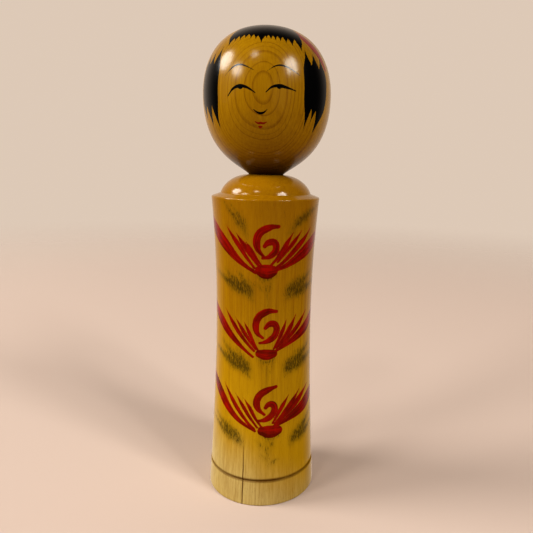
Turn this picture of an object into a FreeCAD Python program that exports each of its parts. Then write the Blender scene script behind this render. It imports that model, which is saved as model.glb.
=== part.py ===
"""Kokeshi doll: a lathe-turned wooden body and a lathe-turned head that snaps into it and turns.

Millimetres, +Z up. The face looks along -Y. The origin is at the centre of the base.
Both pieces are solids of revolution about Z, so each starts as a half outline in the XZ plane.
The head and its neck are one block. The neck ends in a bulb that is pushed past a lip in the
shoulder while the body spins on the lathe, so the head can turn for ever but can't lift off.
"""
import FreeCAD
import Part

import os

# ---- driving dimensions ----
DOLL_HEIGHT = 242.0          # eight sun, a traditional size
BASE_RADIUS = 29.4
RIM_RADIUS = 27.95           # outer edge of the shoulder ledge
RIM_HEIGHT = 160.0
HEAD_RADIUS = 31.85
HEAD_WIDEST = 209.4          # height of the head's widest ring
NECK_RADIUS = 8.7            # collar of the neck, where it meets the shoulder
SEAT_HEIGHT = 171.2          # top of the dome, round the neck

# ---- body: outline ----
LOWER_PULL = 26.2            # radii of the two inner poles of the waisted side
UPPER_PULL = 23.1
DOME_RADIUS = 23.3
DOME_FOOT = 161.7            # height where the dome stands on the sloping ledge
DOME_SHOULDER = (22.2, 165.6)
DOME_BROW = (17.2, 170.8)
FOOT_ROUND = 0.7
RIM_ROUND = 0.6

# ---- body: groove and underside ----
GROOVE_HEIGHT = 14.0
GROOVE_WIDTH = 1.3
GROOVE_DEPTH = 0.75
GROOVE_OVERCUT = 1.0         # how far the cutting ring reaches outside the wood
HOLLOW_RADIUS = 22.0         # dished underside, so that the doll stands on a ring
HOLLOW_DEPTH = 1.2
PRONG_COUNT = 4              # slots left by the prongs of the lathe's drive centre
PRONG_RADIUS = 9.0
PRONG_LENGTH = 5.0
PRONG_WIDTH = 1.2
PRONG_TURN = 20.0            # degrees
MARK_DEPTH = 4.2             # top of the slots and of the centre hole
CENTRE_RADIUS = 1.5

# ---- head: outline ----
CROWN_PULL = 24.0            # how far the flat crown runs out before it bends down
TEMPLE_PULL = 16.3
CHEEK_PULL = 28.3
JAW = (13.6, 175.7)

# ---- neck joint ----
SEAT_DEPTH = 1.4             # recess in the dome that takes the collar
SEAT_GAP = 0.3               # round the collar
END_GAP = 0.1                # under the collar, and between lip and bulb
SHAFT_RADIUS = 6.9
RUNNING_CLEARANCE = 0.06
LIP_LENGTH = 5.0             # length of the bore that the bulb was pushed through
BULB_RADIUS = 7.4
BULB_LENGTH = 6.0
BULB_CHAMFER = 1.6
CAVITY_RADIUS = 8.2          # undercut chamber behind the lip
CAVITY_FLOOR_GAP = 1.5       # under the bulb
CAVITY_POINT = 2.5           # cone left by the drill at the bottom of the chamber

# heights inside the neck joint, from the top down
SEAT_FLOOR = SEAT_HEIGHT - SEAT_DEPTH
COLLAR_FOOT = SEAT_FLOOR + END_GAP
LIP_FOOT = SEAT_FLOOR - LIP_LENGTH
BULB_TOP = LIP_FOOT - END_GAP
BULB_FOOT = BULB_TOP - BULB_LENGTH
CAVITY_FOOT = BULB_FOOT - CAVITY_FLOOR_GAP

ORIGIN = FreeCAD.Vector(0, 0, 0)
UP = FreeCAD.Vector(0, 0, 1)


def point(radius, height):
    return FreeCAD.Vector(radius, 0, height)


def polyline(corners):
    """Straight edges through corners given as (radius, height)."""
    ends = [point(*corner) for corner in corners]
    return [Part.LineSegment(a, b).toShape() for a, b in zip(ends, ends[1:])]


def bezier(*poles):
    curve = Part.BezierCurve()
    curve.setPoles([point(*pole) for pole in poles])
    return curve.toShape()


def turn(edges):
    """A closed half outline, turned about Z into a solid."""
    return Part.Face(Part.Wire(edges)).revolve(ORIGIN, UP, 360)


def side_curve():
    """The waisted side, from the foot up to the rim."""
    return bezier(
        (BASE_RADIUS, 0),
        (LOWER_PULL, RIM_HEIGHT / 3),
        (UPPER_PULL, RIM_HEIGHT * 2 / 3),
        (RIM_RADIUS, RIM_HEIGHT),
    )


def round_rim(solid, radius, height, size):
    """Rounds the circular edge of this radius at this height."""
    rims = [
        edge for edge in solid.Edges
        if edge.BoundBox.ZLength < 0.01
        and abs(edge.BoundBox.ZMin - height) < 0.01
        and abs(edge.BoundBox.XMax - radius) < 0.01
    ]
    return solid.makeFillet(size, rims)


def groove_ring():
    """The ring of wood that a pointed tool takes out of the side just above the foot."""
    # the side's poles are evenly spaced in height, so its parameter is height over rim height
    side = side_curve().Curve.value(GROOVE_HEIGHT / RIM_HEIGHT).x
    flare = GROOVE_WIDTH / 2 * (GROOVE_DEPTH + GROOVE_OVERCUT) / GROOVE_DEPTH
    return turn(polyline([
        (side - GROOVE_DEPTH, GROOVE_HEIGHT),
        (side + GROOVE_OVERCUT, GROOVE_HEIGHT + flare),
        (side + GROOVE_OVERCUT, GROOVE_HEIGHT - flare),
        (side - GROOVE_DEPTH, GROOVE_HEIGHT),
    ]))


def drive_marks():
    """The slots and the centre hole that the lathe's drive centre leaves in the underside."""
    marks = [Part.makeCylinder(CENTRE_RADIUS, MARK_DEPTH)]
    for i in range(PRONG_COUNT):
        corner = FreeCAD.Vector(PRONG_RADIUS - PRONG_LENGTH / 2, -PRONG_WIDTH / 2, 0)
        slot = Part.makeBox(PRONG_LENGTH, PRONG_WIDTH, MARK_DEPTH, corner)
        slot.rotate(ORIGIN, UP, PRONG_TURN + 360 / PRONG_COUNT * i)
        marks.append(slot)
    return marks


def socket_outline(seat_radius):
    """Seat, lip and undercut chamber for the neck, from the dome's mouth down to the axis."""
    bore = SHAFT_RADIUS + RUNNING_CLEARANCE
    return [
        (seat_radius, SEAT_HEIGHT),
        (seat_radius, SEAT_FLOOR),
        (bore, SEAT_FLOOR),
        (bore, LIP_FOOT),
        (CAVITY_RADIUS, LIP_FOOT),
        (CAVITY_RADIUS, CAVITY_FOOT),
        (0, CAVITY_FOOT - CAVITY_POINT),
    ]


def body():
    """The body block: waisted side, ledge and dome, with the socket for the neck."""
    seat_radius = NECK_RADIUS + SEAT_GAP
    hollow = Part.Arc(
        point(0, HOLLOW_DEPTH),
        point(HOLLOW_RADIUS / 2, HOLLOW_DEPTH * 3 / 4),
        point(HOLLOW_RADIUS, 0),
    )
    dome = bezier((DOME_RADIUS, DOME_FOOT), DOME_SHOULDER, DOME_BROW, (seat_radius, SEAT_HEIGHT))
    outline = [
        hollow.toShape(),
        *polyline([(HOLLOW_RADIUS, 0), (BASE_RADIUS, 0)]),
        side_curve(),
        *polyline([(RIM_RADIUS, RIM_HEIGHT), (DOME_RADIUS, DOME_FOOT)]),
        dome,
        *polyline([*socket_outline(seat_radius), (0, HOLLOW_DEPTH)]),
    ]
    solid = turn(outline)
    solid = round_rim(solid, BASE_RADIUS, 0, FOOT_ROUND)
    solid = round_rim(solid, RIM_RADIUS, RIM_HEIGHT, RIM_ROUND)
    return solid.cut([groove_ring(), *drive_marks()])


def neck_outline():
    """Collar, shaft and bulb, from the chin down to the axis."""
    return [
        (NECK_RADIUS, SEAT_HEIGHT),
        (NECK_RADIUS, COLLAR_FOOT),
        (SHAFT_RADIUS, COLLAR_FOOT),
        (SHAFT_RADIUS, BULB_TOP),
        (BULB_RADIUS, BULB_TOP - (BULB_RADIUS - SHAFT_RADIUS)),
        (BULB_RADIUS, BULB_FOOT + BULB_CHAMFER),
        (BULB_RADIUS - BULB_CHAMFER, BULB_FOOT),
        (0, BULB_FOOT),
    ]


def head():
    """The head block: the egg of the head, and the neck that is turned from the same wood."""
    crown = bezier(
        (0, DOLL_HEIGHT),
        (CROWN_PULL, DOLL_HEIGHT),
        (HEAD_RADIUS, HEAD_WIDEST + TEMPLE_PULL),
        (HEAD_RADIUS, HEAD_WIDEST),
    )
    cheek = bezier(
        (HEAD_RADIUS, HEAD_WIDEST),
        (HEAD_RADIUS, HEAD_WIDEST - CHEEK_PULL),
        JAW,
        (NECK_RADIUS, SEAT_HEIGHT),
    )
    return turn([crown, cheek, *polyline([*neck_outline(), (0, DOLL_HEIGHT)])])


def main():
    os.makedirs("parts", exist_ok=True)
    pieces = {"body": body(), "head": head()}
    for name, shape in pieces.items():
        volume = round(shape.Volume / 1000, 2)
        print(name, "solids", len(shape.Solids), "valid", shape.isValid(), "volume cm3", volume)
        shape.exportStep(os.path.join("parts", name + ".step"))
    print("shared volume mm3", round(pieces["body"].common(pieces["head"]).Volume, 4))


main()
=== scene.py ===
# %% [markdown]
# # A kokeshi doll, turned and painted
# The real doll is two blocks of pale, close-grained wood. One is turned into the body and one into
# the head with its neck. A painter then brushes hair, a face and three chrysanthemums on the bare
# wood, and a golden varnish goes over everything. This lesson follows the same order: the outlines
# are drawn, spun like wood on a lathe, painted with brush strokes, and varnished.
#
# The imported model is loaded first. It is the frame: it says where everything is and what moves.

# %% Load the frame
import math

import bmesh
import bpy
import numpy as np
from mathutils import Matrix, Vector, noise
from mathutils.geometry import interpolate_bezier


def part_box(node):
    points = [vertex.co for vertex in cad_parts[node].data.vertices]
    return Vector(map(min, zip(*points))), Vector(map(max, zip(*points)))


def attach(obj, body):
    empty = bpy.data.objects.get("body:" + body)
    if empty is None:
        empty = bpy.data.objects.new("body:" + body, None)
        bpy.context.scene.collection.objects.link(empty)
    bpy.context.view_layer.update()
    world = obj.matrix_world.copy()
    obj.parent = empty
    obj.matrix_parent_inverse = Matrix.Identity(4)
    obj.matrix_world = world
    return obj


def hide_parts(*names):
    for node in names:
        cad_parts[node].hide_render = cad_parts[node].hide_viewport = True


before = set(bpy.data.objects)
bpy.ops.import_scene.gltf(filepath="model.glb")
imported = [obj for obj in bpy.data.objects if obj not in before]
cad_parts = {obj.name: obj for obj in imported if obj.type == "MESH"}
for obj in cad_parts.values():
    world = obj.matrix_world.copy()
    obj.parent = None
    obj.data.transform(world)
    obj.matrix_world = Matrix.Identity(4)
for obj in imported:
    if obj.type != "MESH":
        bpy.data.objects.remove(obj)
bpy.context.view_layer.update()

MM = 0.001                   # every size below is in millimetres until it reaches a vertex

# %% [markdown]
# ## Driving sizes
# The frame already knows the outer sizes, so they are read from the boxes of its two pieces and not
# typed again. Only the places along the outline that a box can't tell are given as numbers.

# %% Sizes from the frame
body_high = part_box("body")[1]
head_low, head_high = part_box("head")
base_radius = 29.4                              # before the foot's edge is rounded
seat_height = round(body_high.z / MM, 2)        # top of the shoulder dome, where the head sits
head_radius = round(head_high.x / MM, 2)
doll_height = round(head_high.z / MM, 2)
bulb_foot = round(head_low.z / MM, 2)           # lowest point of the neck, inside the body
print("base", round(body_high.x / MM, 2), "seat", seat_height)
print("head", head_radius, "height", doll_height)

# %% Sizes along the outlines
rim_radius, rim_height = 27.95, 160.0
lower_pull, upper_pull = 26.2, 23.1             # radii that draw the side in to its waist
groove_height, groove_width, groove_depth = 14.0, 1.3, 0.75
hollow_radius, hollow_depth = 22.0, 1.2
dome_radius, dome_foot = 23.3, 161.7
head_widest = 209.4
crown_handle = (24.0, doll_height)              # these two bend the crown down to the temple
temple_handle = (head_radius, head_widest + 16.3)
print("rim", rim_radius, "at", rim_height, "widest ring of the head at", head_widest)

# %% Sizes of the neck and its socket
neck_radius, shaft_radius, bulb_radius = 8.7, 6.9, 7.4
mouth_radius = neck_radius + 0.3                # the recess in the dome takes the collar
seat_floor = seat_height - 1.4
lip_radius = shaft_radius + 0.06
lip_foot = seat_floor - 5.0                     # the bulb was pushed past this much wood
cavity_radius, cavity_foot = 8.2, bulb_foot - 1.5
cavity_point = 2.5                              # the cone that the drill leaves
bulb_chamfer = 1.6
end_gap = 0.1                                   # under the collar, and over the bulb
print("bulb", bulb_radius, "behind a lip of", lip_radius)

# %% [markdown]
# ## An outline and a lathe
# A turned piece has one half outline, which the lathe carries round. An editor's Screw modifier or
# a surface of revolution would do it too, but the spin operator can go round in sectors of unequal
# steps. The painted front gets narrow steps, because the brush strokes are stored on its vertices.
# The plain back gets wide ones, so the whole piece stays light.
#
# The outline is drawn with straight lines and Bezier curves, like the tool's path. A corner that
# sandpaper has rounded is marked while drawing, and the bevel operator rounds it on the wire.


# %% Outline: a pen for half outlines
class Outline:
    """A wire in the XZ plane. Positions are (radius, height) in millimetres."""

    def __init__(self, radius, height):
        self.mesh = bmesh.new()
        self.last = self.mesh.verts.new((radius * MM, 0, height * MM))
        self.soft = []

    def line(self, radius, height, rounding=0.0):
        """A straight line to here. A rounding softens the corner at its end."""
        new = self.mesh.verts.new((radius * MM, 0, height * MM))
        self.mesh.edges.new((self.last, new))
        self.last = new
        if rounding:
            self.soft.append((new, rounding))
        return self

    def curve(self, handle, far_handle, end, spacing):
        """A Bezier curve to end. spacing gives the distance between points at a height."""
        start = (self.last.co.x / MM, self.last.co.z / MM)
        knots = [Vector(p).to_3d() for p in (start, handle, far_handle, end)]
        fine = interpolate_bezier(*knots, 2000)
        radii, heights = [p.x for p in fine], [p.y for p in fine]
        run = np.concatenate([[0], np.cumsum(np.hypot(np.diff(radii), np.diff(heights)))])
        marks = [0.0]
        while marks[-1] < run[-1]:
            marks.append(marks[-1] + spacing(np.interp(marks[-1], run, heights)))
        for mark in np.array(marks[1:]) * run[-1] / marks[-1]:
            self.line(np.interp(mark, run, radii), np.interp(mark, run, heights))
        return self

    def soften(self):
        """Rounds the marked corners."""
        for vertex, rounding in self.soft:
            bmesh.ops.bevel(
                self.mesh, geom=[vertex], offset=rounding * MM, offset_type="OFFSET",
                segments=4, profile=0.5, affect="VERTICES", material=-1,
            )
        return self


# %% Turn: the lathe
def turn(outline, start, sectors):
    """Spins an outline through sectors of (degrees, steps). start is the first azimuth in degrees,
    counted from the front (-Y) towards +X. Seam and poles are welded."""
    mesh = outline.mesh
    to_start = Matrix.Rotation(math.radians(start - 90), 3, "Z")
    bmesh.ops.rotate(mesh, cent=(0, 0, 0), matrix=to_start, verts=mesh.verts)
    edge_of_cut = mesh.verts[:] + mesh.edges[:]
    for degrees, steps in sectors:
        spun = bmesh.ops.spin(
            mesh, geom=edge_of_cut, cent=(0, 0, 0), axis=(0, 0, 1), dvec=(0, 0, 0),
            angle=math.radians(degrees), steps=steps, use_merge=False, use_duplicate=False,
        )
        edge_of_cut = spun["geom_last"]
    bmesh.ops.remove_doubles(mesh, verts=mesh.verts, dist=0.002 * MM)
    bmesh.ops.recalc_face_normals(mesh, faces=mesh.faces)
    return mesh


# %% Finish: from the lathe to the scene
def finish_piece(mesh, name, sharpest=35):
    """Makes an object of the mesh, shaded smooth, with creases where it turns by more degrees."""
    for face in mesh.faces:
        face.smooth = True
    for edge in mesh.edges:
        if len(edge.link_faces) == 2:
            edge.smooth = edge.calc_face_angle(0.0) < math.radians(sharpest)
    data = bpy.data.meshes.new(name)
    mesh.to_mesh(data)
    mesh.free()
    piece = bpy.data.objects.new(name, data)
    bpy.context.scene.collection.objects.link(piece)
    open_edges = sum(1 for count in edge_use(data) if count != 2)
    print(name, "faces", len(data.polygons), "open edges", open_edges)
    return piece


def edge_use(data):
    """How many faces use each edge of a mesh."""
    loops = np.empty(len(data.loops), dtype=int)
    data.loops.foreach_get("edge_index", loops)
    return np.bincount(loops, minlength=len(data.edges))


# %% [markdown]
# ## The body block
# On the real doll the body stays on the lathe until the end. Its side is drawn in to a waist, a
# pointed tool cuts the groove above the foot, and the top is stepped into a sloping ledge and a
# dome. Behind the mouth in the dome the hole widens, so that the neck's bulb can't come out.
#
# The outline runs from the middle of the hollow underside, up the side, over the dome and down
# into the socket. The side is one cubic with its poles evenly spaced in height, so its radius at
# any height is a plain formula, and the groove can be let in exactly.


# %% The side of the body
def side_radius(height):
    """Radius of the waisted side at a height."""
    t = height / rim_height
    poles = (base_radius, lower_pull, upper_pull, rim_radius)
    return sum(math.comb(3, i) * t**i * (1 - t) ** (3 - i) * pole for i, pole in enumerate(poles))


waist = min(range(round(rim_height)), key=side_radius)
print("waist at", waist, "mm, radius", round(side_radius(waist), 2))

# %% Draw the body's outline
body_outline = Outline(0, hollow_depth)
body_outline.curve(
    (hollow_radius / 3, hollow_depth), (hollow_radius * 2 / 3, hollow_depth * 2 / 3),
    (hollow_radius, 0), lambda height: 2.8,
)
body_outline.line(base_radius, 0, rounding=0.7)
edge_room = 1.2                                 # room for the rounded edges at foot and rim
for height in np.linspace(edge_room, groove_height - groove_width / 2, 26):
    body_outline.line(side_radius(height), height)
body_outline.line(side_radius(groove_height) - groove_depth, groove_height, rounding=0.15)
for height in np.linspace(groove_height + groove_width / 2, rim_height - edge_room, 300):
    body_outline.line(side_radius(height), height)
body_outline.line(rim_radius, rim_height, rounding=0.6)
body_outline.line(dome_radius, dome_foot, rounding=0.2)
body_outline.curve(
    (22.2, 165.6), (17.2, 170.8), (mouth_radius, seat_height), lambda height: 0.55
)
for radius, height in (
    (mouth_radius, seat_floor),
    (lip_radius, seat_floor),
    (lip_radius, lip_foot),
    (cavity_radius, lip_foot),
    (cavity_radius, cavity_foot),
    (0, cavity_foot - cavity_point),
):
    body_outline.line(radius, height)
body_outline.soften()
print("body outline points", len(body_outline.mesh.verts))

# %% [markdown]
# The block has one flaw. As the wood dried, a check opened in the side from the foot upwards. It
# gets a narrow sector of its own in the spin, four steps wide, and its middle is pushed in. A
# bump map would draw it too, but a real notch also shows in the outline of the foot.

# %% Spin the body
check_azimuth, check_width = -19.8, 0.6          # degrees
check_top, check_depth = 33.0, 0.45
front_start, front_end = -95.0, 95.0
first_part = check_azimuth - check_width / 2 - front_start
second_part = front_end - check_azimuth - check_width / 2
front_step, back_steps = 1.08, 30
body_mesh = turn(body_outline, front_start, [
    (first_part, round(first_part / front_step)),
    (check_width, 4),
    (second_part, round(second_part / front_step)),
    (360 - front_end + front_start, back_steps),
])
print("body faces", len(body_mesh.faces))


# %% Open the drying check
def azimuth(point):
    """Degrees round from the front, positive towards +X."""
    return math.degrees(math.atan2(point.x, -point.y))


def check_wander(height):
    """How many degrees the check strays from its azimuth at a height in millimetres."""
    return noise.noise(Vector((0, 0, height * 0.12))) * 0.9


def open_check(mesh, reach=6):
    """Notches the side along the check, which dies out towards its top. Columns of vertices up
    to reach degrees away lean with it, so that none cross."""
    top, half, last = check_top * MM, check_width / 2, 8 * MM
    for vertex in mesh.verts:
        radius = vertex.co.xy.length
        away = azimuth(vertex.co) - check_azimuth
        if abs(away) > reach or vertex.co.z > top or radius < 0.9 * base_radius * MM:
            continue
        wander = check_wander(vertex.co.z / MM) * (1 - abs(away) / reach)
        turned = Matrix.Rotation(math.radians(wander), 3, "Z") @ vertex.co
        fade = min(1.0, (top - vertex.co.z) / last)
        depth = check_depth * MM * max(0.0, 1 - abs(away) / half) * fade
        turned.xy *= 1 - depth / radius
        vertex.co = turned


open_check(body_mesh)

# %% [markdown]
# ## The marks under the base
# While it was turned, the block was held by a drive centre: a point and four prongs driven into
# the end grain. They leave a hole and four slots. Small box and cylinder cutters and one Boolean
# modifier repeat what the prongs did.


# %% Cut the drive marks
def drive_cutter(depth=4.2, below=2.0, point_radius=1.5):
    """The shape of the drive centre: a point and four prongs, from below the foot to depth."""
    prong_length, prong_width, prong_radius, prong_turn = 5, 1.2, 9, 20
    middle = (depth - below) / 2 * MM
    cutter = bmesh.new()
    for i in range(4):
        slot = bmesh.ops.create_cube(cutter, size=1.0)["verts"]
        size = (prong_length * MM, prong_width * MM, (depth + below) * MM)
        bmesh.ops.scale(cutter, vec=size, verts=slot)
        bmesh.ops.translate(cutter, vec=(prong_radius * MM, 0, middle), verts=slot)
        around = Matrix.Rotation(math.radians(prong_turn + 90 * i), 3, "Z")
        bmesh.ops.rotate(cutter, cent=(0, 0, 0), matrix=around, verts=slot)
    point = bmesh.ops.create_cone(
        cutter, cap_ends=True, segments=24, radius1=point_radius * MM,
        radius2=point_radius * MM, depth=(depth + below) * MM,
    )["verts"]
    bmesh.ops.translate(cutter, vec=(0, 0, middle), verts=point)
    data = bpy.data.meshes.new("drive_cutter")
    cutter.to_mesh(data)
    cutter.free()
    return bpy.data.objects.new("drive_cutter", data)


def cut_away(piece, cutter):
    """Takes the cutter's shape out of the piece for good."""
    bpy.context.scene.collection.objects.link(cutter)
    boolean = piece.modifiers.new("cut", "BOOLEAN")
    boolean.operation, boolean.solver, boolean.object = "DIFFERENCE", "EXACT", cutter
    graph = bpy.context.evaluated_depsgraph_get()
    cut = bpy.data.meshes.new_from_object(piece.evaluated_get(graph))
    piece.modifiers.clear()
    piece.data = cut
    bpy.data.objects.remove(cutter)


turned_body = finish_piece(body_mesh, "turned_body")
cut_away(turned_body, drive_cutter())
print("body after the drive marks", len(turned_body.data.polygons), "faces")

# %% [markdown]
# ## The head block
# The head is an egg with a flattened crown, and the neck grows out of its chin. The collar sits
# in the mouth of the dome. Below it come the shaft, which runs in the lip, and the bulb, which
# was pushed past the lip and holds the head on.

# %% Draw the head's outline
def face_spacing(height):
    """Close rings where the face and the hair's edges are, wider ones elsewhere."""
    if height > 234:
        return 0.5
    return 0.28 if height > 189 else 0.7


head_outline = Outline(0, doll_height)
head_outline.curve(crown_handle, temple_handle, (head_radius, head_widest), face_spacing)
head_outline.curve(
    (head_radius, head_widest - 28.3), (13.6, 175.7), (neck_radius, seat_height), face_spacing
)
collar_foot = seat_floor + end_gap
bulb_top = lip_foot - end_gap
for radius, height in (
    (neck_radius, collar_foot),
    (shaft_radius, collar_foot),
    (shaft_radius, bulb_top),
    (bulb_radius, bulb_top - 0.5),
    (bulb_radius, bulb_foot + bulb_chamfer),
    (bulb_radius - bulb_chamfer, bulb_foot),
    (0, bulb_foot),
):
    head_outline.line(radius, height)
print("head outline points", len(head_outline.mesh.verts))

# %% Spin the head
face_turn = -6.0             # the head stands turned a little to the doll's right
head_mesh = turn(head_outline, face_turn - 82, [
    (34, 32),                # the lock over the doll's right ear
    (96, 192),               # the face
    (34, 32),                # the lock over the left ear
    (196, 64),               # the back of the head
])
turned_head = finish_piece(head_mesh, "turned_head")

# %% [markdown]
# ## Brush strokes
# The decoration is ink and dye in the wood, with no thickness of its own, so it belongs to the
# material. A stroke could be a texture, but then its edge would be as coarse as the image. Here
# each stroke is a smooth path with a swelling width, laid on a flat chart of the surface. Every
# vertex keeps its distance to the nearest stroke's edge, negative inside. A distance changes
# evenly between vertices, so the material can cut it off at zero and get a crisp edge.


# %% Brush: lays strokes on a chart
class Brush:
    """Strokes of one colour on a chart, whose u and v are a vertex's millimetres across and up."""

    far = 4.0                                # distances are kept up to this

    def __init__(self, u, v):
        self.u, self.v = u, v
        self.edge = np.full(len(u), self.far)     # distance to the paint's edge, negative inside
        self.side = np.zeros(len(u))         # -1 to 1 from one edge of the stroke to the other
        self.flow = np.zeros(len(u))         # grows along the stroke, in tens of millimetres
        self.strokes = 0

    def stroke(self, path, width, start=0.15, rise=0.4, fall=0.6, end=0.4):
        """A stroke through the points of path, width wide at its widest. It swells over its
        first part, rise, and thins over its last part, fall, both shares of its length. start and
        end are the widths of its two ends, as shares of width."""
        points = smooth_path(path)
        along = np.concatenate([[0], np.cumsum(np.hypot(*np.diff(points, axis=0).T))])
        t = along / along[-1]
        swell = start + (1 - start) * ease(t / rise)
        thin = end + (1 - end) * ease((1 - t) / fall)
        half = width / 2 * np.minimum(swell, thin)
        self.lay(points, half, along)
        self.strokes += 1

    def lay(self, points, half, along):
        """Keeps the stroke's distances wherever they are nearer than those of earlier strokes."""
        reach = half.max() + self.far
        low, high = points.min(axis=0) - reach, points.max(axis=0) + reach
        near = np.flatnonzero(
            (self.u > low[0]) & (self.u < high[0]) & (self.v > low[1]) & (self.v < high[1])
        )
        a, b = points[:-1], points[1:]
        chord = b - a
        offset = np.stack([self.u[near], self.v[near]], axis=1)[:, None] - a
        t = np.clip((offset * chord).sum(2) / (chord**2).sum(1), 0, 1)
        miss = offset - t[..., None] * chord
        radius = half[:-1] + t * np.diff(half)
        edge = np.hypot(miss[..., 0], miss[..., 1]) - radius
        best = edge.argmin(1)
        rows = np.arange(len(near))
        edge = edge[rows, best]
        cross = chord[best, 0] * miss[rows, best, 1] - chord[best, 1] * miss[rows, best, 0]
        cross /= np.hypot(*chord[best].T) * radius[rows, best]
        flow = (along[best] + t[rows, best] * np.diff(along)[best]) / 10 + 7.3 * self.strokes
        nearer = edge < self.edge[near]
        kept = near[nearer]
        self.edge[kept] = edge[nearer]
        self.side[kept] = cross[nearer]
        self.flow[kept] = flow[nearer]


# %% Brush: its helpers
def ease(t):
    """0 to 1 with a soft start and end."""
    t = np.clip(t, 0, 1)
    return t * t * (3 - 2 * t)


def smooth_path(path, pieces=9):
    """Points on a smooth curve through the points of path."""
    knots = [Vector(p).to_3d() for p in path]
    knots = [2 * knots[0] - knots[1], *knots, 2 * knots[-1] - knots[-2]]
    points = [knots[1]]
    for before, a, b, after in zip(knots, knots[1:], knots[2:], knots[3:]):
        points += interpolate_bezier(a, a + (b - before) / 6, b - (after - a) / 6, b, pieces)[1:]
    return np.array([p.to_2d() for p in points])


def vertex_places(piece):
    """The piece's vertices in millimetres, one row each."""
    places = np.empty(len(piece.data.vertices) * 3)
    piece.data.vertices.foreach_get("co", places)
    return places.reshape(-1, 3) / MM


def keep_paint(piece, name, *brushes, parts=("edge",)):
    """Stores the paint of one colour on the vertices, under names that the material can read. Of
    several brushes, the nearest paint counts."""
    nearest = np.argmin([brush.edge for brush in brushes], axis=0)
    rows = np.arange(len(nearest))
    for part in parts:
        values = np.array([getattr(brush, part) for brush in brushes])[nearest, rows]
        attribute = piece.data.attributes.new(f"{name}_{part}", "FLOAT", "POINT")
        attribute.data.foreach_set("value", values.astype(np.float32))
    print(name, "strokes", sum(brush.strokes for brush in brushes))


# %% [markdown]
# ## The three chrysanthemums
# The painter stands three flowers above each other. Each has a curl on top, a heart, four petals
# to each side, and the outermost petals are laid with the whole belly of the brush. The leaves
# between them are dragged with a nearly dry brush.
#
# The chart of the body is its side unrolled: u is how far round from the front, measured at a
# radius of 26 mm, and v is the height. No two flowers are alike, so each has its own strokes.
# They are given from the flower's heart, so that a flower can be moved as a whole.

# %% Unroll the body
body_places = vertex_places(turned_body)
body_azimuth = np.arctan2(body_places[:, 0], -body_places[:, 1])
body_chart_radius = 26.0
nowhere = -50.0              # off the chart: the socket, the underside and the neck
body_u = body_azimuth * body_chart_radius
on_side = np.hypot(body_places[:, 0], body_places[:, 1]) > 24
body_v = np.where(on_side, body_places[:, 2], nowhere)
red_brush = Brush(body_u, body_v)
leaf_brush = Brush(body_u, body_v)

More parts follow.
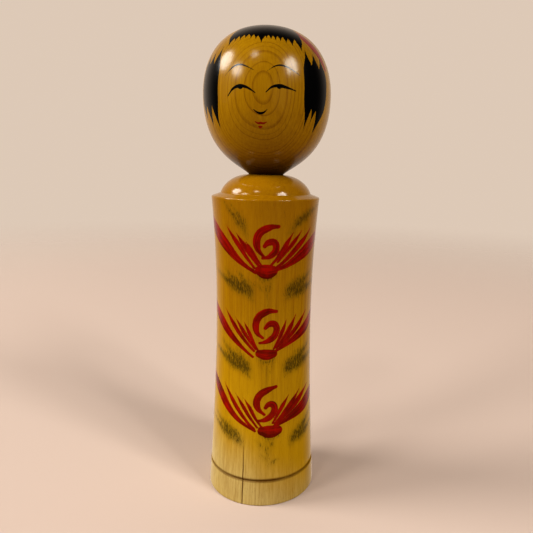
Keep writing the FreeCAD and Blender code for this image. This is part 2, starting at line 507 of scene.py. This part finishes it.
# %% The strokes of each flower
# a petal is its width and its points from the tip to the heart; the curl on top is drawn in two
# strokes, an outer one that keeps the name and a hook inside it
FLOWERS = [
    {
        "heart": (1.0, 125.4),
        "heart_size": (7.2, 2.9),
        "curl": [(5.2, 22.0), (1.6, 21.7), (-2.9, 19.4), (-4.9, 15.6), (-4.4, 11.0), (-1.8, 7.6)],
        "hook": [
            (-2.1, 6.5), (1.2, 7.3), (4.0, 9.9), (4.3, 13.0), (2.8, 14.6), (0.4, 14.0), (-1.1, 12.4),
        ],
        "fat_left": (6.8, [
            (-41, 25.6), (-36, 22.4), (-31, 18.4), (-26, 14.6), (-21, 10.6), (-16, 6.3),
            (-11, 2.6), (-5.4, -0.8),
        ]),
        "fat_right": (7.0, [
            (39, 19.1), (34, 16.1), (29, 13.2), (24, 10.4), (19, 7.6), (14, 4.8), (9, 2.2),
            (4, 0.4),
        ]),
        "petals": [
            (2.5, [(-21.6, 21.8), (-18, 17.1), (-14, 12.1), (-10, 6.6), (-6, 1.6)]),
            (2.6, [(-15.4, 18.4), (-12.4, 14.1), (-9, 9.6), (-5.9, 5.2), (-3.6, 2.4)]),
            (1.7, [(-10.6, 15.0), (-7.9, 11.0), (-4.9, 6.3), (-2.4, 2.8)]),
            (2.5, [(13.2, 19.2), (10.6, 15), (8, 10.8), (5, 6.4), (2.4, 3.4)]),
            (2.3, [(18.2, 19.8), (14.5, 15.1), (10, 10.1), (5.4, 4.6)]),
            (3.0, [(25.2, 20.8), (21, 16.1), (15.5, 11.1), (9, 5.1), (5, 2)]),
        ],
    },
    {
        "heart": (1.6, 82.8),
        "heart_size": (5.6, 3.6),
        "curl": [(4.8, 22.2), (0.7, 22.4), (-3.7, 20.0), (-5.6, 15.7), (-4.9, 11.2), (-2.0, 8.6)],
        "hook": [
            (-3.6, 5.9), (0.2, 6.8), (3.8, 9.3), (5.1, 12.9), (4.0, 15.6), (1.4, 15.8), (-0.7, 13.8),
        ],
        "fat_left": (5.6, [
            (-43.6, 24.2), (-37.6, 21.2), (-31.6, 17.4), (-26.6, 13.8), (-21.6, 9.6), (-16.6, 5.7),
            (-11.6, 1.9), (-7.0, -1.5),
        ]),
        "fat_right": (6.0, [
            (38.4, 20.2), (33.4, 17.0), (28.4, 13.6), (23.4, 10.6), (18.4, 8.2), (13.4, 5.8),
            (8.4, 3.4), (4.8, 1.6),
        ]),
        "petals": [
            (2.5, [(-24.2, 21.8), (-20.1, 16.8), (-14.6, 10.2), (-9.6, 4.7), (-6.4, 1.6)]),
            (2.1, [(-17.2, 18.3), (-13.1, 12.7), (-9.1, 7.2), (-5.4, 2.6)]),
            (1.9, [(-12.2, 16.8), (-9.1, 11.2), (-6.1, 5.2), (-4.4, 2.4)]),
            (2.2, [(10.5, 17.9), (8.9, 13.2), (6.4, 7.7), (3.8, 3)]),
            (2.9, [(16.3, 19.4), (12.9, 13.2), (8.9, 7.7), (5.2, 3.4)]),
            (2.8, [(24.6, 20.5), (19.9, 15.2), (13.9, 9.7), (7.2, 4)]),
        ],
    },
    {
        "heart": (4.0, 41.4),
        "heart_size": (6.8, 3.8),
        "curl": [(2.8, 24.0), (-1.2, 22.6), (-5.2, 20.0), (-7.0, 16.1), (-6.1, 12.2), (-3.0, 9.2)],
        "hook": [
            (-6.5, 5.8), (-2.6, 6.4), (0.6, 8.6), (2.2, 12.0), (1.2, 14.6), (-1.0, 14.6),
            (-2.4, 13.0),
        ],
        "fat_left": (5.8, [
            (-46, 25.8), (-40, 23.4), (-34, 20.0), (-29, 16.0), (-24, 11.2), (-19, 6.9), (-14, 3.6),
            (-7.6, 0.2),
        ]),
        "fat_right": (7.2, [
            (36, 16.4), (31, 14.6), (26, 12.6), (21, 10.0), (16, 8.0), (11, 6.2), (6, 4.2),
            (2, 2.6),
        ]),
        "petals": [
            (2.6, [(-26.6, 23.2), (-22.5, 18.1), (-17.5, 11.6), (-12, 5.1), (-8, 1.2)]),
            (2.1, [(-18.6, 19.2), (-14.5, 13.6), (-10.5, 7.6), (-6.4, 2.1)]),
            (2.0, [(-13.9, 17.7), (-10.5, 12.6), (-7.5, 7.1), (-4.4, 2.6)]),
            (2.3, [(10.1, 18.5), (7, 14.1), (4, 9.1), (1.2, 4.4)]),
            (2.8, [(17.2, 19.8), (12.5, 14.6), (7.5, 9.6), (2.8, 4.4)]),
            (3.6, [(24.8, 20.4), (19.5, 16.6), (13.5, 12.1), (6.5, 7.1), (2.6, 4)]),
        ],
    },
]


# %% Paint the flowers
def paint_flower(brush, flower):
    """Fat petals first, then thin ones, the curl and the heart over them."""
    u, v = flower["heart"]

    def shifted(points):
        return [(u + du, v + dv) for du, dv in points]

    for side in ("fat_left", "fat_right"):
        width, points = flower[side]
        brush.stroke(shifted(points), width, start=0.45, rise=0.3, fall=0.62, end=0.24)
    for width, points in flower["petals"]:
        brush.stroke(shifted(points), width, start=0.15, rise=0.4, fall=0.6, end=0.5)
    brush.stroke(shifted(flower["curl"]), 3.7, start=0.5, rise=0.3, fall=0.35, end=0.4)
    brush.stroke(shifted(flower["hook"]), 3.4, start=0.4, rise=0.35, fall=0.2, end=0.6)
    width, reach = flower["heart_size"]
    heart = [(-reach, 0.3), (0, -0.2), (reach, 0.2)]
    brush.stroke(shifted(heart), width, start=0.75, rise=0.4, fall=0.4, end=0.75)


for flower in FLOWERS:
    paint_flower(red_brush, flower)
keep_paint(turned_body, "red", red_brush, parts=("edge", "side", "flow"))

# %% The leaves and stems
# each leaf is a fan of dry strokes from its inner tip; the tip is followed by the far ends
LEAVES = [
    (5.4, (-8.5, 142), [(-13, 149), (-21, 158)], [(-11.5, 150), (-17, 157.5)]),
    (6.4, (11.5, 144), [(18, 150.5), (29, 156)], [(22, 152.5), (35, 158)]),
    (
        8.6, (-6, 110.5),
        [(-9, 117), (-13, 123.5)], [(-13, 117.5), (-22, 124.5)], [(-14, 116.5), (-31, 123)],
    ),
    (
        8.6, (11.5, 111),
        [(15, 117), (19, 121.5)], [(19, 117.5), (31, 124)], [(20, 114.5), (36, 118)],
    ),
    (9.4, (-7, 70.5), [(-10.5, 77), (-14, 84)], [(-14, 78), (-24, 86.5)], [(-13.5, 76), (-31, 82)]),
    (9.4, (12, 71), [(15, 77), (18, 82)], [(19, 78), (31, 85.5)], [(19.5, 75.5), (36, 79)]),
    (8.2, (-10, 32.5), [(-14, 38), (-18, 43.5)], [(-17, 39), (-29, 45.5)], [(-17, 37), (-32, 42)]),
    (8.6, (15, 32), [(19, 37.5), (22, 42)], [(22, 38.5), (33, 46)], [(23, 36), (36, 40)]),
]
STEMS = [
    (1.4, [(0.6, 121.5), (1.4, 114), (2.2, 106)]),
    (1.4, [(-4, 119.5), (-1.5, 116.5), (1, 114.5)]),
    (1.6, [(3.6, 120), (2.4, 116), (2, 112)]),
    (1.5, [(1.8, 79.5), (2.2, 73), (2, 66)]),
    (1.4, [(-1.6, 80), (-0.6, 76), (0.4, 73.5)]),
    (1.4, [(5.0, 79.6), (4.4, 76), (3.6, 73)]),
    (1.8, [(1.6, 37.6), (2.4, 32), (3.2, 21)]),
    (1.6, [(5.4, 37.4), (4.6, 33), (4.0, 28)]),
    (1.6, [(-2.4, 36), (0, 33), (2, 30)]),
    (1.6, [(-0.2, 29), (2, 26), (3.2, 22)]),
    (1.8, [(4.6, 23.6), (6.6, 25.4), (8.4, 25.6)]),
]
for width, tip, *fan in LEAVES:
    for far in fan:
        leaf_brush.stroke([tip, *far], width, start=0.35, rise=0.4, fall=0.6, end=0.35)
STEM_SPREAD = 1.9            # a dry brush leaves a stem wider and fainter than it draws it
for width, path in STEMS:
    leaf_brush.stroke(path, width * STEM_SPREAD, start=0.6, rise=0.3, fall=0.7, end=0.3)
for flower in FLOWERS:
    u, v = flower["heart"]
    sepals = [(u - 4, v - 2.2), (u, v - 4.2), (u + 4.4, v - 2.4)]
    leaf_brush.stroke(sepals, 4.6, start=0.6, end=0.6)
keep_paint(turned_body, "leaf", leaf_brush)

# %% The drying check, painted darker
check_brush = Brush(body_u, body_v)
check_path = [
    (math.radians(check_azimuth + check_wander(height)) * body_chart_radius, height)
    for height in np.arange(0, check_top + 1, 3)
]
check_brush.stroke(check_path, 0.4, start=1.0, rise=0.3, fall=0.5, end=0.1)
keep_paint(turned_body, "check", check_brush)

# %% [markdown]
# ## Hair and face
# The hair is three patches of black ink: a forelock that falls from the crown in pointed tips, and
# a lock over each ear. Red hair ribbons fan out from the forelock's root. The face is a few thin
# strokes. Everything is placed from the face's own middle line, because the head stands turned.
#
# Two charts are used. The front chart is the head unrolled, as on the body. The crown chart is the
# head seen from above with true distances from the pole, where an unrolled chart would tear.

# %% Chart the head
head_places = vertex_places(turned_head)
head_azimuth = np.arctan2(head_places[:, 0], -head_places[:, 1]) - math.radians(face_turn)
outside = head_places[:, 2] > seat_height + 1
front_u = head_azimuth * head_radius
front_v = np.where(outside, head_places[:, 2], nowhere)

crown_knots = ((0, doll_height), crown_handle, temple_handle, (head_radius, head_widest))
crown_curve = interpolate_bezier(*[Vector(knot).to_3d() for knot in crown_knots], 200)
crown_steps = [(b - a).length for a, b in zip(crown_curve, crown_curve[1:])]
crown_heights = [-point.y for point in crown_curve]
crown_arcs = np.concatenate([[0], np.cumsum(crown_steps)])


def crown_arc(height):
    """Distance over the surface from the pole down to a height."""
    return np.interp(-height, crown_heights, crown_arcs)


too_far = 90.0               # below the widest ring the crown chart ends
head_arc = np.where(head_places[:, 2] > head_widest, crown_arc(head_places[:, 2]), too_far)
crown_u = head_arc * np.sin(head_azimuth)
crown_v = -head_arc * np.cos(head_azimuth)


def from_front(u, height):
    """A point of the front chart, on the crown chart."""
    angle, arc = u / head_radius, crown_arc(height)
    return (arc * math.sin(angle), -arc * math.cos(angle))


print("from the pole to the widest ring", round(crown_arcs[-1], 1), "mm")

# %% The forelock
# every lock is one stroke from the root behind the crown to a tip on the forehead
hair_top = Brush(crown_u, crown_v)
TIPS = [
    (-19.8, 228.6), (-16.6, 230.4), (-13.4, 231.0), (-10.2, 231.6), (-6.8, 231.4), (-3.7, 231.0),
    (-0.4, 229.2), (2.4, 231.6), (4.9, 231.0), (7.5, 230.8), (10.3, 230.4), (13.4, 229.6),
    (16.8, 228.6), (21.6, 226.7),
]
ROOT = (0.0, -4.0)
for u, height in TIPS:
    tip = from_front(u, height)
    middle = (tip[0] * 0.62, (ROOT[1] + tip[1]) * 0.5)
    root = (ROOT[0] + tip[0] * 0.22, ROOT[1])
    hair_top.stroke([root, middle, tip], 4.5, start=0.7, rise=0.3, fall=0.26, end=0.02)
hair_top.stroke([(-5.5, -6), (0, -1.5), (5.5, -6)], 6.5, start=0.7, rise=0.5, fall=0.5, end=0.7)

# %% The side locks
# the outline of each lock falls in three pointed strokes
hair_side = Brush(front_u, front_v)
SIDE_LOCKS = [
    (1, [(23.8, 228.2), (23.8, 219), (23.9, 206), (23.0, 192.6)], 6.0),
    (1, [(29.2, 227.4), (28.6, 216), (28.2, 206), (26.4, 195.4)], 6.2),
    (1, [(34.4, 226.4), (34.2, 214), (33.0, 204), (29.8, 190.2)], 7.4),
    (-1, [(23.6, 229.0), (24.6, 219), (24.9, 206), (23.4, 191.4)], 6.2),
    (-1, [(28.6, 227.6), (30.0, 216), (30.3, 206), (28.6, 192.2)], 6.4),
    (-1, [(33.6, 227.0), (34.8, 215), (35.4, 205), (34.6, 195.0)], 6.8),
]
for side, path, width in SIDE_LOCKS:
    hair_side.stroke([(side * u, v) for u, v in path], width, 0.03, rise=0.3, fall=0.42, end=0.02)

# %% The face
FACE = [
    # the brows
    (0.8, [(-17.4, 215.1), (-13.7, 218.4), (-10.2, 219.6), (-6.7, 218.8), (-3.0, 217.1)]),
    (0.8, [(3.3, 216.9), (6.3, 218.8), (9.3, 219.5), (13.3, 218.6), (18.7, 215.8)]),
    # each eye is a lid and a dab under it
    (1.5, [(-15.6, 206.2), (-12.7, 209.3), (-9.2, 210.4), (-5.7, 209.6), (-2.2, 207.5)]),
    (1.5, [(-10.5, 210.1), (-9.0, 209.7), (-7.5, 210.1)]),
    (1.5, [(2.7, 207.8), (5.3, 210.0), (8.5, 210.7), (11.7, 210.2), (16.4, 209.0)]),
    (1.4, [(7.2, 210.5), (8.6, 210.0), (10.0, 210.4)]),
    # the nose
    (1.1, [(-2.9, 200.4), (-1.5, 199.3), (0.2, 198.8), (1.9, 199.2), (3.4, 200.5)]),
]
for width, path in FACE:
    hair_side.stroke(path, width, start=0.3, rise=0.5, fall=0.5, end=0.3)
keep_paint(turned_head, "black", hair_top, hair_side)

# %% Mouth and ribbons
lip_brush = Brush(front_u, front_v)
UPPER_LIP = [(-2.3, 195.2), (-0.9, 194.5), (0.3, 194.7), (1.6, 194.5), (3.2, 195.1)]
lip_brush.stroke(UPPER_LIP, 0.95, start=0.5, rise=0.4, fall=0.4, end=0.5)
LOWER_LIP = [(-0.5, 193.1), (0.2, 192.9), (0.9, 193.1)]
lip_brush.stroke(LOWER_LIP, 1.0, start=0.7, rise=0.5, fall=0.5, end=0.7)
ribbon_brush = Brush(crown_u, crown_v)
RIBBONS = [
    [(7, -10), (11, -13.6), (20, -15.4), (29, -14.8), (37, -14.0)],
    [(7, -7), (16, -7.5), (26, -4.5), (35, 1.5)],
    [(6.5, -3), (13, 0.5), (21, 7), (27, 15)],
    [(3.5, -1), (6, 7), (9.5, 16), (11, 25)],
    [(-7, -7.5), (-12, -9), (-21, -9.5), (-30, -8), (-37, -5)],
    [(-7, -4), (-15, -2), (-25, 2.5), (-34, 9)],
    [(-5, -2), (-11, 4), (-18, 12), (-23, 20)],
    [(-1.5, -1), (-2.5, 8), (-4.5, 17), (-7, 26)],
]
for ribbon in RIBBONS:
    ribbon_brush.stroke(ribbon, 5.8, start=0.35, rise=0.6, fall=0.3, end=0.5)
keep_paint(turned_head, "red", lip_brush, ribbon_brush, parts=("edge", "side", "flow"))

# %% [markdown]
# ## Writing shaders as sums
# A material is a calculation, and a calculation reads best as one. `Wire` wraps a node's output
# socket, so that `a + b` or `1 - a` adds the Math node for it. Every other node comes from one
# method, which is given its settings and the values or wires of its sockets.


# %% Wire: sockets that can be added and multiplied
class Wire:
    """An output socket of a node tree, for use in expressions."""

    def __init__(self, tree, socket=None):
        self.tree, self.socket = tree, socket

    def node(self, kind, settings=None, sockets=None, output=0):
        """Adds a node. Settings are set first. Sockets take wires or plain values."""
        node = self.tree.nodes.new("ShaderNode" + kind)
        for name, value in (settings or {}).items():
            setattr(node, name, value)
        for key, value in (sockets or {}).items():
            if isinstance(value, Wire):
                self.tree.links.new(value.socket, node.inputs[key])
            else:
                node.inputs[key].default_value = value
        return Wire(self.tree, node.outputs[output])

    def math(self, operation, *values):
        """A Math node on wires or plain numbers."""
        sockets = dict(enumerate(values))
        return self.node("Math", {"operation": operation}, sockets)

    def __add__(self, other):
        return self.math("ADD", self, other)

    def __sub__(self, other):
        return self.math("SUBTRACT", self, other)

    def __mul__(self, other):
        return self.math("MULTIPLY", self, other)

    def __truediv__(self, other):
        return self.math("DIVIDE", self, other)

    def __rsub__(self, other):
        return self.math("SUBTRACT", other, self)

    __radd__, __rmul__ = __add__, __mul__

    def between(self, low, high):
        """0 at low, 1 at high, eased."""
        settings = {"interpolation_type": "SMOOTHSTEP"}
        return self.node("MapRange", settings, {"Value": self, "From Min": low, "From Max": high})

    def largest(self, other):
        return self.math("MAXIMUM", self, other)

    def part(self, axis):
        """One coordinate of a vector."""
        return self.node("SeparateXYZ", {}, {"Vector": self}, output="XYZ".index(axis))

    def stretched(self, x, y, z):
        """A vector with each coordinate multiplied."""
        return self.node("VectorMath", {"operation": "MULTIPLY"}, {0: self, 1: (x, y, z)})

    def noise(self, detail=2.0, roughness=0.5):
        """Noise at this point, about 0.5 on average."""
        sockets = {"Vector": self, "Scale": 1.0, "Detail": detail, "Roughness": roughness}
        return self.node("TexNoise", {}, sockets)

    def mix(self, colour, other):
        """The first colour where this is 0 and the other where it is 1."""
        settings = {"data_type": "RGBA", "clamp_factor": True}
        return self.node("Mix", settings, {0: self, 6: colour, 7: other}, output=2)


def rgb(red, green, blue):
    """A colour in linear light, without the gamma of a colour picker's hex code."""
    return (red, green, blue, 1.0)


def new_material(name):
    """A material with an empty Principled shader, and a wire to build its sums from."""
    material = bpy.data.materials.new(name)
    material.use_nodes = True
    tree = material.node_tree
    shader = tree.nodes["Principled BSDF"]
    return material, Wire(tree), shader


# %% [markdown]
# ## Wood
# A tree's yearly rings are nested cylinders round the pith. On a turned block they show as ovals
# where the surface bulges across them and as long streaks where it runs along them. So the wood
# is one calculation in three dimensions: the distance from the pith line, bent a little, cut into
# years. The head's pith was in front of the face, which gives ovals that stand upright. The
# body's was off to one side, so its front shows the rings on edge, as fine upright lines.


# %% Wood: rings, fibres and pores
def wood_tone(point, pith, year, rings, streaks):
    """How dark the wood is, 0 to 1. point is in millimetres, pith the (x, y) of the tree's middle
    and year the thickness of a yearly ring. rings and streaks say how dark those are."""
    bend = 7                 # the trunk strays by up to half of this to each side
    slow = point.stretched(0.03, 0.03, 0.010)
    sway = slow.node("TexNoise", {}, {"Vector": slow, "Scale": 1.0, "Detail": 1.0}, output=1)
    sockets = {0: sway, 1: (bend, bend, 0), 2: point}
    bent = sway.node("VectorMath", {"operation": "MULTIPLY_ADD"}, sockets)
    middle = (pith[0] + bend / 2, pith[1] + bend / 2, 0)
    across = bent.node("VectorMath", {"operation": "SUBTRACT"}, {0: bent, 1: middle})
    across = across.stretched(1, 1, 0)
    distance = across.node("VectorMath", {"operation": "LENGTH"}, {0: across}, output=1)
    age = distance / year
    good_years = age.node("TexNoise", {"noise_dimensions": "1D"}, {"W": age * 0.7, "Scale": 1.0})
    season = age.math("FRACT", age + good_years * 1.6)
    late_wood = season.between(0.62, 0.93) * (1 - season.between(0.94, 1.0))
    sockets = {"W": age * 0.4 + 31.0, "Scale": 1.0}
    weather = age.node("TexNoise", {"noise_dimensions": "1D"}, sockets)
    fibres = point.stretched(1.1, 1.1, 0.022).noise(3.0, 0.65)
    fine = point.stretched(4.0, 4.0, 0.09).noise(2.0, 0.6)
    patches = point.stretched(0.045, 0.045, 0.018).noise(2.0)
    pores = point.stretched(3.6, 3.6, 0.30).noise(1.0).between(0.60, 0.72)
    tone = late_wood * weather.between(0.2, 0.85) * rings
    tone = tone + (fibres - 0.5) * streaks * 2.2 + (fine - 0.5) * streaks * 1.2
    return tone + patches * 0.6 + pores * 0.14 - 0.1


# %% Paint: from distances to colour
def paint_mask(point, name, bleed=0.16, soft=0.12):
    """1 inside the strokes of one colour. The ink creeps a little way along the grain."""
    edge = point.node("Attribute", {"attribute_name": name + "_edge"}, {}, output="Fac")
    creep = point.stretched(2.2, 2.2, 0.35).noise(2.0) - 0.5
    return 1 - (edge + creep * bleed * 2).between(-soft, soft)


def bristles(point, name):
    """Streaks along a stroke, about 0.5 on average."""
    side = point.node("Attribute", {"attribute_name": name + "_side"}, {}, output="Fac")
    flow = point.node("Attribute", {"attribute_name": name + "_flow"}, {}, output="Fac")
    along = point.node("CombineXYZ", {}, {"X": side * 2.6, "Y": flow * 0.7, "Z": 0.0})
    return along.noise(3.0, 0.6)


def varnish(shader, coat_roughness):
    """The clear coat over wood and paint, the same all over. Under it the wood has no gloss."""
    shader.inputs["Roughness"].default_value = 0.6
    shader.inputs["Specular IOR Level"].default_value = 0.0
    shader.inputs["Coat Roughness"].default_value = coat_roughness
    shader.inputs["Coat IOR"].default_value = 1.38


RED_THIN, RED_THICK = rgb(0.30, 0.002, 0.001), rgb(0.095, 0.0004, 0.0004)
INK = rgb(0.0015, 0.0014, 0.0013)


# %% The body's material
def body_finish():
    """Straight-grained wood under flowers. It is browner towards the shoulder and paler towards the
    foot. Near the foot, wear has taken the varnish off down to bare wood, and that patch reaches
    higher on the left, where the side is painted paler as light from the left windows."""
    material, start, shader = new_material("varnished_body")
    place = start.node("TexCoord", {}, {}, output="Object")
    point = place.stretched(1 / MM, 1 / MM, 1 / MM)
    height = point.part("Z")
    tone = wood_tone(point, pith=(-78.0, 30.0), year=2.1, rings=0.22, streaks=0.45)
    golden = tone.mix(rgb(0.42, 0.225, 0.0025), rgb(0.17, 0.054, 0.0008))
    golden = (height.between(60, 165) * 0.55).mix(golden, rgb(0.23, 0.088, 0.0008))
    golden = (0.4 - height.between(20, 110) * 0.4).mix(golden, rgb(0.54, 0.33, 0.007))
    bare = (tone * 1.3).mix(rgb(0.52, 0.40, 0.165), rgb(0.24, 0.13, 0.028))
    # bare wood where wear took the varnish off the foot; it reaches higher on the left, which is
    # painted light from the left windows
    wear_and_left_light = height + point.part("X") * 0.6 + point.stretched(0.08, 0.08, 0.02).noise() * 16
    worn_and_left_lit = 1 - wear_and_left_light.between(8, 46)
    wood = (worn_and_left_lit * 0.85).mix(golden, bare)

    leaf_edge = start.node("Attribute", {"attribute_name": "leaf_edge"}, {}, output="Fac")
    drag = point.stretched(2.6, 2.6, 0.45).noise(3.0, 0.7)
    charge = 1 - leaf_edge.between(-4.2, 1.6)
    leaf = (charge * 0.6 + (drag - 0.5) * 2.2).between(0.26, 0.7)
    wash = charge * 0.5
    olive = wash.mix(wood, rgb(0.125, 0.078, 0.003))
    with_leaf = (leaf * 0.7).mix(olive, rgb(0.014, 0.012, 0.003))

    red = paint_mask(point, "red")
    pooled = bristles(point, "red") + point.stretched(0.25, 0.25, 0.2).noise() * 0.5 - 0.25
    dye = (pooled + charge * 0.4).between(0.25, 0.75).mix(RED_THIN, RED_THICK)
    colour = (red * 0.97).mix(with_leaf, dye)

    from_groove = (height - groove_height - 0.2).math("ABSOLUTE", height - groove_height - 0.2)
    groove = 1 - from_groove.between(0.25, 1.7)
    # the groove is painted a dark brown line, stronger in some places than others
    groove_dark = groove * (0.35 + point.stretched(0.06, 0.06, 0.1).noise() * 0.9)
    colour = groove_dark.mix(colour, rgb(0.085, 0.030, 0.002))
    check_edge = start.node("Attribute", {"attribute_name": "check_edge"}, {}, output="Fac")
    check = 1 - check_edge.between(-0.15, 0.2)
    # the drying check is painted a darker brown
    colour = (check * 0.8).mix(colour, rgb(0.10, 0.042, 0.009))

    start.tree.links.new(colour.socket, shader.inputs["Base Color"])
    relief = tone * 0.6 + red * 0.15
    bump = relief.node("Bump", {}, {"Strength": 0.10, "Distance": 0.0003, "Height": relief})
    start.tree.links.new(bump.socket, shader.inputs["Normal"])
    coat = from_groove.between(0.9, 2.2) * (1 - check)
    start.tree.links.new(coat.socket, shader.inputs["Coat Weight"])
    varnish(shader, 0.14)
    return material


# %% The head's material
def head_finish():
    """The same wood with its rings as ovals round the face, under ink and varnish."""
    material, start, shader = new_material("varnished_head")
    place = start.node("TexCoord", {}, {}, output="Object")
    point = place.stretched(1 / MM, 1 / MM, 1 / MM)
    height = point.part("Z")
    tone = wood_tone(point, pith=(-6.0, -79.95), year=1.3, rings=0.7, streaks=0.35)
    wood = tone.mix(rgb(0.355, 0.185, 0.002), rgb(0.14, 0.044, 0.0005))
    # painted shade: the underside of the head darkens to nearly black towards the neck, where the
    # head overhangs the dome
    painted_chin_shade = 1 - height.between(172, 185)
    wood = (painted_chin_shade * 0.95).mix(wood, rgb(0.022, 0.0045, 0.0005))
    red = paint_mask(point, "red", bleed=0.08, soft=0.08)
    dye = bristles(point, "red").between(0.3, 0.7).mix(RED_THIN, RED_THICK)
    black = paint_mask(point, "black", bleed=0.08, soft=0.07)
    colour = black.mix((red * 0.95).mix(wood, dye), INK)
    start.tree.links.new(colour.socket, shader.inputs["Base Color"])
    relief = tone * 0.5 + black.largest(red) * 0.15
    bump = relief.node("Bump", {}, {"Strength": 0.06, "Distance": 0.0003, "Height": relief})
    start.tree.links.new(bump.socket, shader.inputs["Normal"])
    shader.inputs["Coat Weight"].default_value = 1.0
    varnish(shader, 0.19)
    return material


# %% Dress the two pieces
for piece, node, slot, finish in (
    (turned_body, "body", "body_wood", body_finish()),
    (turned_head, "head", "head_wood", head_finish()),
):
    piece.data.materials.clear()
    piece.data.materials.append(finish)
    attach(piece, node)
    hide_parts(node)
    print(piece.name, "stands for", node, "with", finish.name)

# %% [markdown]
# ## Floor, light and camera
# A plain pale floor, and soft lights like the windows of a workshop: two from the left, a window
# with a glazing bar from the right, and a small lamp high in front. They are area lights, because
# a varnished egg shows the shape of every lamp as a highlight. Two wide fills only brighten and
# aren't mirrored. The room looks pale from all sides, but what it lights and what the varnish
# mirrors of it comes from the back. That gives the doll a thin pale rim and keeps the ink black.


# %% The floor
FLOOR_COLOUR = rgb(0.60, 0.48, 0.415)
FLOOR_THROWN_BACK = rgb(0.43, 0.32, 0.22)       # the light that it throws up at the doll


def make_floor():
    """A round floor that fades out before its edge, so that no horizon crosses the doll. It
    throws back less light than it shows, as if a darker card lay just out of sight."""
    mesh = bmesh.new()
    bmesh.ops.create_circle(mesh, cap_ends=True, segments=96, radius=1.6)
    data = bpy.data.meshes.new("floor")
    mesh.to_mesh(data)
    mesh.free()
    floor = bpy.data.objects.new("floor", data)
    bpy.context.scene.collection.objects.link(floor)
    material, start, shader = new_material("pale_floor")
    place = start.node("TexCoord", {}, {}, output="Object")
    away = place.node("VectorMath", {"operation": "LENGTH"}, {0: place}, output=1)
    fade = 1 - away.between(0.35, 1.4)
    start.tree.links.new(fade.socket, shader.inputs["Alpha"])
    seen = start.node("LightPath", {}, {}, output="Is Camera Ray")
    colour = seen.mix(FLOOR_THROWN_BACK, FLOOR_COLOUR)
    start.tree.links.new(colour.socket, shader.inputs["Base Color"])
    shader.inputs["Roughness"].default_value = 0.8
    shader.inputs["Specular IOR Level"].default_value = 0.1
    data.materials.append(material)
    floor.visible_glossy = False                # mirrored, it would put a haze over the paint
    print("floor", len(data.vertices), "corners")


make_floor()


# %% The lights
def window(name, around, up, size, power, mirrored=True, distance=4.0):
    """An area light that faces the head. around and up are degrees from the front and the level,
    size is in metres and power in watts."""
    aim = Vector((0, 0, 0.2))
    tilted = Matrix.Rotation(math.radians(-up), 3, "X") @ Vector((0, -1, 0))
    away = Matrix.Rotation(math.radians(around), 3, "Z") @ tilted
    data = bpy.data.lights.new(name, "AREA")
    data.shape, data.size, data.size_y = "ELLIPSE", *size
    data.energy, data.color = power, (1.0, 0.96, 0.90)
    light = bpy.data.objects.new(name, data)
    light.visible_glossy = mirrored
    light.location = aim + away * distance
    light.rotation_euler = away.to_track_quat("Z", "Y").to_euler()
    bpy.context.scene.collection.objects.link(light)
    print(name, "stands at", [round(place, 2) for place in light.location])


window("left_window", -92, 34, (1.7, 1.5), 96.0)
window("left_fill", -80, 14, (3.0, 2.4), 58.0, mirrored=False)
window("left_pane", -58, 27, (1.2, 1.0), 52.0)
window("front_lamp", -31, 51, (0.66, 0.66), 14.0)
window("right_pane", 40, 34, (0.50, 1.5), 36.0)
window("right_pane_outer", 52, 36, (0.76, 1.6), 60.0)
window("front_fill", 24, 4, (3.0, 2.4), 20.0, mirrored=False)


# %% The room
BACKGROUND = rgb(0.62, 0.51, 0.42)


def light_room():
    """A pale background. What the varnish mirrors of it is bright at the back and dark in front."""
    world = bpy.data.worlds.new("room")
    bpy.context.scene.world = world
    world.use_nodes = True
    tree = world.node_tree
    background = tree.nodes["Background"]
    direction = Wire(tree).node("TexCoord", {}, {}, output="Generated")
    behind = direction.part("Y").between(0.15, 0.85)
    reflected = behind.mix(rgb(0.012, 0.011, 0.010), BACKGROUND)
    seen = direction.node("LightPath", {}, {}, output="Is Camera Ray")
    colour = seen.mix(reflected, BACKGROUND)
    tree.links.new(colour.socket, background.inputs["Color"])


light_room()

# %% The camera
# it stands close, below the top of the head and well above the foot, and looks a little down
CAMERA_PLACE = (0, -271.5, 177.2)
CAMERA_TURN, CAMERA_TILT, CAMERA_ROLL = -3.13, 78.71, 1.51      # degrees
camera_data = bpy.data.cameras.new("camera")
camera_data.lens = 34.92                        # millimetres
camera_data.shift_x = -0.0485
camera_data.clip_start = 0.01
camera = bpy.data.objects.new("camera", camera_data)
aim = (
    Matrix.Rotation(math.radians(CAMERA_TURN), 4, "Z")
    @ Matrix.Rotation(math.radians(CAMERA_TILT), 4, "X")
    @ Matrix.Rotation(math.radians(CAMERA_ROLL), 4, "Z")
)
camera.matrix_world = Matrix.Translation(Vector(CAMERA_PLACE) * MM) @ aim
bpy.context.scene.collection.objects.link(camera)
bpy.context.scene.camera = camera
bpy.context.scene.view_settings.view_transform = "Standard"
bpy.context.scene.view_settings.look = "Medium High Contrast"
print("camera at", CAMERA_PLACE, "with a lens of", camera_data.lens)
